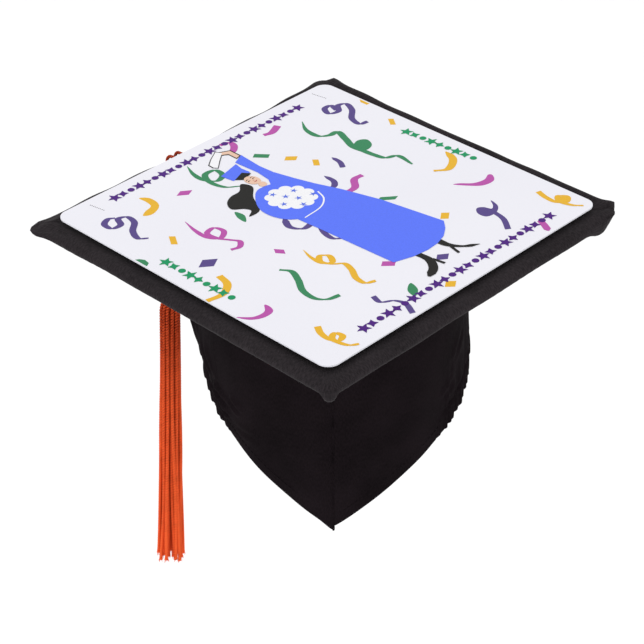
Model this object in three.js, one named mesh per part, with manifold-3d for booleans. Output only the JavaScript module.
// Graduation cap with a card topper. Millimetres, +Z up.
// The origin is the middle of the crown lining's underside, where the wearer's head touches.
// The wearer faces -Y, so the board's peak corner points to -Y and the wearer's right is -X.
import * as THREE from "three";
import { mergeVertices } from "three/addons/utils/BufferGeometryUtils.js";
import Module from "manifold-3d";

// Fits
const seamGap = 0.3; // between pieces that are sewn, glued or laid together
const boreClearance = 0.3; // radial, round the button's shank

// Board: chipboard core, wadding over its top and sides, cloth below and cloth above with rolled edges
const boardSide = 250;
const boardCornerRadius = 6;
const coreThickness = 2.4;
const paddingThickness = 1.5;
const paddingSide = 2;
const topClothThickness = 0.8;
const bottomClothThickness = 0.6;
const seamInset = 1; // how far the lower cloth stops inside the rolled edge
const lipRadius = 3;
const liningThickness = 0.8;

// Headpiece: an oval wall of cloth panels, deep at the forehead
const headWidth = 172;
const headLength = 194;
const frontDepth = 158;
const sideDepth = 84;
const peakSharpness = 1.1; // power of the hem's climb from the peak to the ears
const clothThickness = 1;
const belly = 1; // swell half way down
const hemPullFront = 3; // how far the hem draws in at the forehead
const hemPullBack = 6; // and where the elastic gathers it
const seamRidge = 3; // forward fold along the front seam
const ridgeAngle = 14;
const sideSeamAngle = 55; // from the front seam to each side seam
const stiffenerThickness = 0.8;
const stiffenerHemInset = 8;
const stiffenerCrownInset = 2.5; // below the lining
const sweatbandThickness = 0.8;
const sweatbandHeight = 30;
const sweatbandHemInset = 3;
const sweatbandEndInset = 3; // degrees short of the side seam
const elasticThickness = 1;
const elasticHeight = 12;
const elasticHemInset = 2;
const elasticEndInset = 3; // degrees past the side seam

// Button that holds the tassel's loop, with the washer that clinches it under the core
const shankRadius = 2.5;
const buttonRadius = 9;
const buttonCapThickness = 0.8;
const buttonBevel = 0.3;
const washerRadius = 8;
const washerThickness = 0.6;

// Card topper on hook-and-loop discs
const topperSide = 235;
const topperCornerRadius = 8;
const topperThickness = 1;
const discRadius = 10;
const discThickness = 1.5;
const discCornerInset = 48; // from the card's rounded corner to the disc's middle

// Tassel: a doubled cord from the button over the board's far right-hand edge, then head, binding and skirt
const cordDiameter = 2.2;
const cordSides = 8;
const headTop = -78; // the knot turns about this point
const knotRadius = 7;
const knotHeight = 13.5;
const neckRadius = 5;
const bindingHeight = 5;
const bindingThickness = 1.5;
const skirtTopRadius = 6.8;
const skirtTipRadius = 9.3;
const tasselLength = 250;
const tasselAlong = 22; // from the edge's middle towards the side corner
const tasselStandoff = 2.3; // from the board's edge out to the hanging cord's middle

// Levels, from the lining up
const liningTop = liningThickness;
const bottomClothBottom = liningTop + seamGap;
const bottomClothTop = bottomClothBottom + bottomClothThickness;
const coreBottom = bottomClothTop + seamGap;
const coreTop = coreBottom + coreThickness;
const paddingTop = coreTop + seamGap + paddingThickness;
const topClothBottom = paddingTop + seamGap;
const boardTop = topClothBottom + topClothThickness;
const hookBottom = boardTop + seamGap;
const loopDiscBottom = hookBottom + discThickness + seamGap;
const topperBottom = loopDiscBottom + discThickness + seamGap;
const buttonTop = topperBottom - seamGap;

const wasm = await Module();
wasm.setup();

const cap = new THREE.Group();

const materials = {
  boardCloth: { color: 0x2e282b, roughness: 0.88, metalness: 0 },
  headCloth: { color: 0x1b1719, roughness: 0.92, metalness: 0 },
  chipboard: { color: 0x9a8c76, roughness: 0.95, metalness: 0 },
  wadding: { color: 0xe6e4df, roughness: 1, metalness: 0 },
  buckram: { color: 0xcfc8b8, roughness: 0.95, metalness: 0 },
  elastic: { color: 0x171517, roughness: 0.8, metalness: 0 },
  steel: { color: 0xb9bcc0, roughness: 0.35, metalness: 1 },
  card: { color: 0xedecf4, roughness: 0.45, metalness: 0 },
  hookAndLoop: { color: 0xe9e9e6, roughness: 0.9, metalness: 0 },
  tasselYarn: { color: 0xc94a2c, roughness: 0.75, metalness: 0 },
};

function addPiece(name, geometry, finish, turn = 0) {
  const mesh = new THREE.Mesh(geometry, new THREE.MeshStandardMaterial(materials[finish]));
  mesh.name = name;
  mesh.rotation.z = turn;
  cap.add(mesh);
}

// Joins and cuts

function toSolid(geometry) {
  const bare = geometry.clone();
  bare.deleteAttribute("normal");
  bare.deleteAttribute("uv");
  const merged = mergeVertices(bare);
  return new wasm.Manifold(new wasm.Mesh({
    numProp: 3,
    vertProperties: new Float32Array(merged.attributes.position.array),
    triVerts: new Uint32Array(merged.index.array),
  }));
}

function toGeometry(solid) {
  const mesh = solid.getMesh();
  const geometry = new THREE.BufferGeometry();
  geometry.setAttribute("position", new THREE.BufferAttribute(mesh.vertProperties, 3));
  geometry.setIndex(new THREE.BufferAttribute(mesh.triVerts, 1));
  geometry.computeVertexNormals();
  return geometry;
}

function cut(geometry, ...tools) {
  let solid = toSolid(geometry);
  for (const tool of tools) {
    solid = solid.subtract(toSolid(tool));
  }
  return toGeometry(solid);
}

// Plain shapes

function squareOutline(side, radius) {
  const inner = side / 2 - radius;
  const outline = new THREE.Shape();
  for (let corner = 0; corner < 4; corner += 1) {
    const start = (corner - 1) * Math.PI / 2;
    const middle = start + Math.PI / 4;
    const x = inner * Math.SQRT2 * Math.cos(middle);
    const y = inner * Math.SQRT2 * Math.sin(middle);
    outline.absarc(x, y, radius, start, start + Math.PI / 2);
  }
  outline.closePath();
  return outline;
}

function plate(outline, bottom, top) {
  const options = { depth: top - bottom, bevelEnabled: false, curveSegments: 6 };
  return new THREE.ExtrudeGeometry(outline, options).translate(0, 0, bottom);
}

// A square plate whose upper edge is rolled over with the given radius
function rolledPlate(side, radius, bottom, top, roll) {
  const belowCut = 1;
  const outline = squareOutline(side - 2 * roll, radius - roll);
  const options = {
    depth: top - roll - bottom + belowCut,
    bevelEnabled: true,
    bevelThickness: roll,
    bevelSize: roll,
    bevelSegments: 4,
    curveSegments: 4,
  };
  const rolled = new THREE.ExtrudeGeometry(outline, options).translate(0, 0, bottom - belowCut);
  const below = plate(squareOutline(side + 2, radius), bottom - belowCut - roll - 1, bottom);
  return cut(rolled, below);
}

function roundBar(radius, bottom, top, segments = 24) {
  const bar = new THREE.CylinderGeometry(radius, radius, top - bottom, segments);
  return bar.rotateX(Math.PI / 2).translate(0, 0, (top + bottom) / 2);
}

// A solid of revolution about Z from points [radius, height] that go up the outside
function turned(points, segments = 24) {
  const profile = points.map(([radius, height]) => new THREE.Vector2(radius, height));
  return new THREE.LatheGeometry(profile, segments).rotateX(Math.PI / 2);
}

// Board. Its sides stand at 45 degrees, so every square piece is turned by an eighth.

const eighthTurn = Math.PI / 4;

function shankHole() {
  return roundBar(shankRadius + boreClearance, coreBottom - 1, boardTop + 1);
}

function addBoard() {
  const clothInside = boardSide - 2 * topClothThickness;
  const paddingOutside = clothInside - 2 * seamGap;
  const paddingInside = paddingOutside - 2 * paddingSide;
  const coreSide = paddingInside - 2 * seamGap;
  const clothInsideRadius = boardCornerRadius - topClothThickness;
  const clothInsideRoll = lipRadius - topClothThickness;

  const outer = rolledPlate(boardSide, boardCornerRadius, coreBottom, boardTop, lipRadius);
  const hollow = rolledPlate(clothInside, clothInsideRadius, coreBottom - 1, topClothBottom, clothInsideRoll);
  addPiece("cover_top", cut(outer, hollow, shankHole()), "boardCloth", eighthTurn);

  const wadding = rolledPlate(paddingOutside, clothInsideRadius - seamGap, coreBottom, paddingTop,
    clothInsideRoll - seamGap);
  const room = plate(squareOutline(paddingInside, 2), coreBottom - 1, coreTop + seamGap);
  addPiece("board_padding", cut(wadding, room, shankHole()), "wadding", eighthTurn);

  const core = plate(squareOutline(coreSide, 2), coreBottom, coreTop);
  const recessTop = coreBottom + washerThickness + seamGap;
  const recess = roundBar(washerRadius + boreClearance, coreBottom - 1, recessTop);
  addPiece("board_core", cut(core, recess, shankHole()), "chipboard", eighthTurn);

  const lowerSide = boardSide - 2 * seamInset;
  const lowerOutline = squareOutline(lowerSide, boardCornerRadius - seamInset);
  addPiece("cover_bottom", plate(lowerOutline, bottomClothBottom, bottomClothTop), "boardCloth", eighthTurn);
}

function addButton() {
  const capBottom = buttonTop - buttonCapThickness;
  const profile = [
    [0, coreBottom],
    [shankRadius, coreBottom],
    [shankRadius, capBottom],
    [buttonRadius, capBottom],
    [buttonRadius, buttonTop - buttonBevel],
    [buttonRadius - buttonBevel, buttonTop],
    [0, buttonTop],
  ];
  addPiece("button", turned(profile), "boardCloth");
  const washer = roundBar(washerRadius, coreBottom, coreBottom + washerThickness);
  addPiece("button_washer", cut(washer, shankHole()), "steel");
}

// Topper. Each hook disc is glued to the board, and each loop disc to the card above it.

function addTopper() {
  const cardOutline = squareOutline(topperSide, topperCornerRadius);
  const card = plate(cardOutline, topperBottom, topperBottom + topperThickness);
  addPiece("topper_card", card, "card", eighthTurn);
  const cardCorner = topperSide * Math.SQRT1_2 - topperCornerRadius * (Math.SQRT2 - 1);
  const discReach = cardCorner - discCornerInset;
  for (let corner = 0; corner < 4; corner += 1) {
    const x = discReach * Math.cos(corner * Math.PI / 2);
    const y = discReach * Math.sin(corner * Math.PI / 2);
    const hook = roundBar(discRadius, hookBottom, hookBottom + discThickness);
    const loop = roundBar(discRadius, loopDiscBottom, loopDiscBottom + discThickness);
    addPiece(`hook_disc_${corner + 1}`, hook.translate(x, y, 0), "hookAndLoop");
    addPiece(`loop_disc_${corner + 1}`, loop.translate(x, y, 0), "hookAndLoop");
  }
}

// Headpiece. Angles are in degrees from the front seam, positive towards +X.

function hemDepth(angle) {
  const climb = Math.max(0, 1 - Math.abs(angle) / 90);
  return sideDepth + (frontDepth - sideDepth) * climb ** peakSharpness;
}

// A point of the wall's outer face moved inwards by inset
function wallPoint(angle, z, inset) {
  const down = Math.min(1, Math.max(0, -z / hemDepth(angle)));
  const toBack = Math.min(1, Math.abs(angle) / sideSeamAngle);
  const pull = hemPullFront + (hemPullBack - hemPullFront) * toBack;
  const ridge = seamRidge * Math.exp(-((angle / ridgeAngle) ** 2)) * Math.sqrt(down);
  const swell = belly * Math.sin(Math.PI * down) - pull * down ** 2 + ridge - inset;
  const turn = THREE.MathUtils.degToRad(angle);
  const x = (headWidth / 2 + swell) * Math.sin(turn);
  const y = -(headLength / 2 + swell) * Math.cos(turn);
  return new THREE.Vector3(x, y, z);
}

// A closed strip of the wall between two angles, from topAt(angle) down to bottomAt(angle)
function wallStrip({ from, to, topAt, bottomAt, inset, thickness, around, down }) {
  const strip = new THREE.BoxGeometry(1, 1, 1, around, 1, down);
  const position = strip.attributes.position;
  for (let i = 0; i < position.count; i += 1) {
    const angle = from + (to - from) * (position.getX(i) + 0.5);
    const share = position.getZ(i) + 0.5;
    const z = bottomAt(angle) + (topAt(angle) - bottomAt(angle)) * share;
    const depth = inset + thickness * (position.getY(i) + 0.5);
    const point = wallPoint(angle, z, depth);
    position.setXYZ(i, point.x, point.y, point.z);
  }
  strip.computeVertexNormals();
  return strip;
}

const halfSeamAngle = THREE.MathUtils.radToDeg(seamGap / headWidth);

function addPanels() {
  const wall = {
    topAt: () => liningTop,
    bottomAt: (angle) => -hemDepth(angle),
    inset: 0,
    thickness: clothThickness,
  };
  for (const [side, sign] of [["left", 1], ["right", -1]]) {
    const seams = [0, sideSeamAngle, 180].map((angle) => angle * sign);
    const step = halfSeamAngle * sign;
    const front = [seams[0] + step, seams[1] - step].sort((a, b) => a - b);
    const back = [seams[1] + step, seams[2] - step].sort((a, b) => a - b);
    const frontStrip = wallStrip({ ...wall, from: front[0], to: front[1], around: 14, down: 12 });
    const backStrip = wallStrip({ ...wall, from: back[0], to: back[1], around: 26, down: 8 });
    addPiece(`front_panel_${side}`, frontStrip, "headCloth");
    addPiece(`back_panel_${side}`, backStrip, "headCloth");
  }
}

function addStiffeners() {
  const inset = clothThickness + seamGap;
  const wall = {
    topAt: () => -stiffenerCrownInset,
    bottomAt: (angle) => stiffenerHemInset - hemDepth(angle),
    inset,
    thickness: stiffenerThickness,
    around: 12,
    down: 10,
  };
  const inner = halfSeamAngle;
  const outer = sideSeamAngle - sweatbandEndInset;
  addPiece("stiffener_left", wallStrip({ ...wall, from: inner, to: outer }), "buckram");
  addPiece("stiffener_right", wallStrip({ ...wall, from: -outer, to: -inner }), "buckram");
}

function addBands() {
  const sweatbandEnd = sideSeamAngle - sweatbandEndInset;
  const sweatband = wallStrip({
    from: -sweatbandEnd,
    to: sweatbandEnd,
    topAt: (angle) => sweatbandHemInset + sweatbandHeight - hemDepth(angle),
    bottomAt: (angle) => sweatbandHemInset - hemDepth(angle),
    inset: clothThickness + stiffenerThickness + 2 * seamGap,
    thickness: sweatbandThickness,
    around: 28,
    down: 3,
  });
  addPiece("sweatband", sweatband, "headCloth");

  const elasticStart = sideSeamAngle + elasticEndInset;
  const elastic = wallStrip({
    from: elasticStart,
    to: 360 - elasticStart,
    topAt: () => elasticHemInset + elasticHeight - sideDepth,
    bottomAt: () => elasticHemInset - sideDepth,
    inset: clothThickness + seamGap,
    thickness: elasticThickness,
    around: 48,
    down: 2,
  });
  addPiece("elastic_band", elastic, "elastic");
}

function addLining() {
  const inset = clothThickness + seamGap;
  const outline = new THREE.Shape();
  outline.absellipse(0, 0, headWidth / 2 - inset, headLength / 2 - inset, 0, 2 * Math.PI);
  const options = { depth: liningThickness, bevelEnabled: false, curveSegments: 64 };
  addPiece("crown_lining", new THREE.ExtrudeGeometry(outline, options), "headCloth");
}

// Tassel. A place beside the board's edge is [out, along, up]: out is square to the edge from the board's
// middle, along runs on the edge from its middle towards the side corner.

function besideEdge([out, along, up]) {
  return new THREE.Vector3(-(out + along) * Math.SQRT1_2, (out - along) * Math.SQRT1_2, up);
}

const loopRoute = [
  [127.3, 17.5, -1.2],
  [127.3, 17.5, 2.5],
  [126.9, 17.5, 6.2],
  [124.8, 17.3, 8.8],
  [121.5, 16.8, 9.3],
  [117, 16.2, 8.7],
  [90, 13.4, 8.7],
  [60, 10.6, 8.7],
  [30, 8, 8.7],
  [10, 6.6, 8.7],
  [0.5, 6, 8.7],
  [-4.4, 4.1, 8.7],
  [-6, -0.5, 8.7],
  [-4.1, -4.4, 8.7],
  [0.5, -6, 8.7],
  [10, -4.7, 8.7],
  [30, -1.7, 8.7],
  [60, 2.4, 8.7],
  [90, 6.6, 8.7],
  [117, 9.9, 8.7],
  [121.5, 10.3, 9.3],
  [124.8, 10.5, 8.8],
  [126.9, 10.5, 6.2],
  [127.3, 10.5, 2.5],
  [127.3, 10.5, -1.2],
];

const dropRoutes = [
  [[127.3, 17.5, -3], [127.3, 18.1, -14], [127.3, 20.2, -38], [127.3, 22.3, -62], [127.3, 23.4, -76.2]],
  [[127.3, 10.5, -3], [127.3, 11.4, -14], [127.3, 14.9, -38], [127.3, 18.6, -62], [127.3, 20.6, -76.2]],
];

function cord(route, steps) {
  const section = new THREE.Shape();
  for (let side = 0; side < cordSides; side += 1) {
    const turn = 2 * Math.PI * side / cordSides;
    const x = cordDiameter / 2 * Math.cos(turn);
    const y = cordDiameter / 2 * Math.sin(turn);
    if (side === 0) {
      section.moveTo(x, y);
    } else {
      section.lineTo(x, y);
    }
  }
  section.closePath();
  const path = new THREE.CatmullRomCurve3(route.map(besideEdge), false, "centripetal");
  return new THREE.ExtrudeGeometry(section, { steps, extrudePath: path, bevelEnabled: false });
}

function addTassel() {
  addPiece("loop_run", cord(loopRoute, 76), "tasselYarn");
  dropRoutes.forEach((route, i) => addPiece(`loop_drop_${i + 1}`, cord(route, 12), "tasselYarn"));

  const place = besideEdge([boardSide / 2 + tasselStandoff, tasselAlong, headTop]);
  const knotTop = -seamGap;
  const knotBottom = knotTop - knotHeight;
  const knot = [];
  for (let step = 0; step <= 10; step += 1) {
    const turn = Math.PI * (step / 10 - 0.5);
    const height = (knotTop + knotBottom) / 2 + knotHeight / 2 * Math.sin(turn);
    knot.push([knotRadius * Math.cos(turn), height]);
  }
  knot[0][0] = 0;
  knot[10][0] = 0;
  addPiece("tassel_head", turned(knot, 20).translate(place.x, place.y, place.z), "tasselYarn");

  const neckTop = knotBottom - seamGap;
  const bindingTop = neckTop - seamGap;
  const bindingBottom = bindingTop - bindingHeight;
  const bindingInside = neckRadius + seamGap;
  const ring = [
    [bindingInside, bindingBottom],
    [bindingInside + bindingThickness, bindingBottom + 1],
    [bindingInside + bindingThickness, bindingTop - 1],
    [bindingInside, bindingTop],
    [bindingInside, bindingBottom],
  ];
  addPiece("tassel_binding", turned(ring, 20).translate(place.x, place.y, place.z), "tasselYarn");

  const skirtBottom = -tasselLength;
  const skirt = [
    [0, skirtBottom],
    [skirtTipRadius, skirtBottom],
    [skirtTopRadius, bindingBottom - 12],
    [neckRadius + 0.5, bindingBottom - 2],
    [neckRadius, bindingBottom],
    [neckRadius, neckTop],
    [0, neckTop],
  ];
  addPiece("tassel_skirt", turned(skirt, 20).translate(place.x, place.y, place.z), "tasselYarn");
}

addBoard();
addButton();
addTopper();
addLining();
addPanels();
addStiffeners();
addBands();
addTassel();

export default cap;
